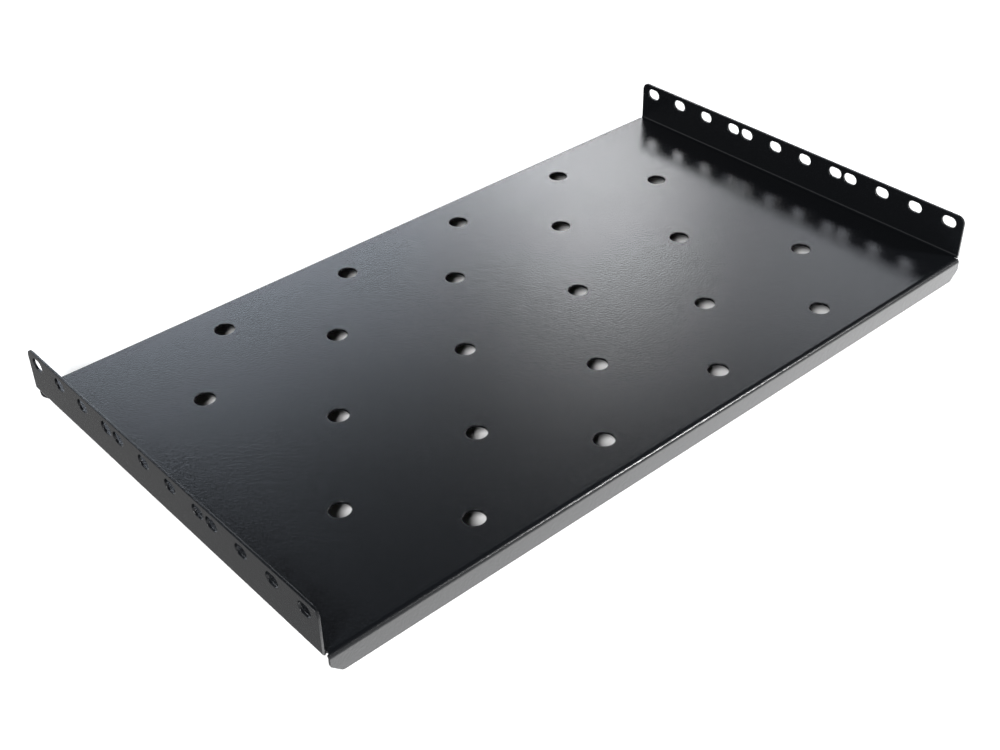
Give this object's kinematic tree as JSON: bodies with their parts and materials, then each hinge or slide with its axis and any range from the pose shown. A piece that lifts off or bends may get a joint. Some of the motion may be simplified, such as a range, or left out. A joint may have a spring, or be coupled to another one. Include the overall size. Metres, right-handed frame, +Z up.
{
  "type": "perforated rack shelf",
  "caption": "Shallow rack shelf folded from sheet steel, with a perforated deck, slotted side flanges turned up and plain long flanges turned down.",
  "frame": {"origin": "middle of the footprint, on the surface that the lower edges of the long flanges stand on", "axes": "+X along the shelf's width, from the left slotted flange to the right one, +Y from front to rear, +Z up"},
  "size_m": [0.487, 0.274, 0.0415],
  "materials": {
    "powder_coat": "semi-gloss black powder coat with a very fine texture"
  },
  "bodies": {
    "root": {"shelf": "powder_coat"}
  },
  "joints": []
}
